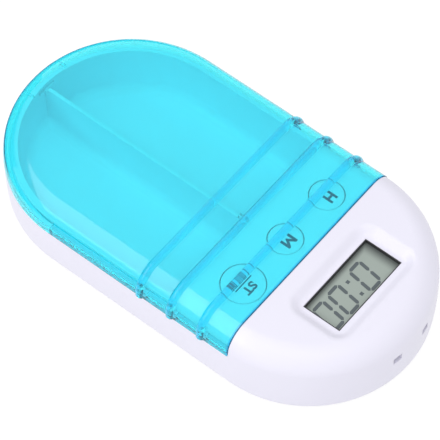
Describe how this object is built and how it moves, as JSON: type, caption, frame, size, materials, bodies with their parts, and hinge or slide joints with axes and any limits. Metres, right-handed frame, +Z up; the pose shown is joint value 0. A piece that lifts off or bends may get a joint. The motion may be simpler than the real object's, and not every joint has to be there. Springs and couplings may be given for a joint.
{
  "type": "electronic pill box",
  "caption": "Stadium-shaped pill case with two pill wells under a clear ribbed slide-off lid, and a small clock with a display and press buttons at its front.",
  "frame": {"origin": "centre of the flat underside's outline, on the surface the box rests on", "axes": "+Y to the display end, +X in the reading direction of the display, +Z up"},
  "size_m": [0.0562, 0.1035, 0.0203],
  "materials": {
    "white_shell": "satin white with a faint cool tint",
    "clear_blue": "clear light blue moulded plastic, polished",
    "white_tray": "satin white with a faint cool tint",
    "white_key": "satin white with a faint cool tint",
    "white_cover": "fine satin white",
    "black_frame": "black, fine grain",
    "display_glass": "greenish grey panel",
    "display_film": "greenish grey film",
    "elastomer": "striped grey elastomer",
    "board_laminate": "green solder mask",
    "black_resin": "glossy black resin",
    "bright_can": "bright tinned metal",
    "black_moulding": "black moulded",
    "tan_ceramic": "tan with tinned ends",
    "ferrite": "dark ferrite",
    "sounder_can": "black moulded",
    "holder_plastic": "satin white",
    "cell_steel": "brushed nickel-plated",
    "contact_metal": "nickel-plated spring strip",
    "screw_steel": "zinc-plated",
    "switch_metal": "satin tinned",
    "plunger_black": "black moulded"
  },
  "bodies": {
    "case": {"housing": "white_shell", "pill_tray": "white_tray", "bottom_cover": "white_cover", "lcd_frame": "black_frame", "lcd_glass": "display_glass", "lcd_polariser": "display_film", "front_contact_strip": "elastomer", "rear_contact_strip": "elastomer", "circuit_board": "board_laminate", "chip_cover": "black_resin", "crystal_can": "bright_can", "transistor": "black_moulding", "capacitor": "tan_ceramic", "boost_coil": "ferrite", "buzzer": "sounder_can", "cell_holder": "holder_plastic", "button_cell": "cell_steel", "positive_contact": "contact_metal", "negative_contact": "contact_metal", "cover_screws": "screw_steel", "board_screws": "screw_steel", "hour_switch_case": "switch_metal", "minute_switch_case": "switch_metal", "start_switch_case": "switch_metal"},
    "lid_cap": {"lid": "clear_blue"},
    "coin_cap": {"battery_cap": "white_cover"},
    "hour_key": {"hour_button": "white_key", "hour_switch_plunger": "plunger_black"},
    "minute_key": {"minute_button": "white_key", "minute_switch_plunger": "plunger_black"},
    "start_key": {"start_button": "white_key", "start_switch_plunger": "plunger_black"}
  },
  "joints": [
    {"name": "lid_slide", "type": "slide", "parent": "case", "child": "lid_cap", "axis": [0, -1, 0], "range_m": [0, 0.08]},
    {"name": "battery_cap_turn", "type": "hinge", "parent": "case", "child": "coin_cap", "pos_m": [0, 0.0309, 0.001], "axis": [0, 0, 1], "range_deg": [0, 45]},
    {"name": "hour_press", "type": "slide", "parent": "case", "child": "hour_key", "axis": [0, 0, -1], "range_m": [0, 0.0004], "stiffness_N_per_m": 2000, "springref_m": -0.0001},
    {"name": "minute_press", "type": "slide", "parent": "case", "child": "minute_key", "axis": [0, 0, -1], "range_m": [0, 0.0004], "stiffness_N_per_m": 2000, "springref_m": -0.0001},
    {"name": "start_press", "type": "slide", "parent": "case", "child": "start_key", "axis": [0, 0, -1], "range_m": [0, 0.0004], "stiffness_N_per_m": 2000, "springref_m": -0.0001}
  ]
}
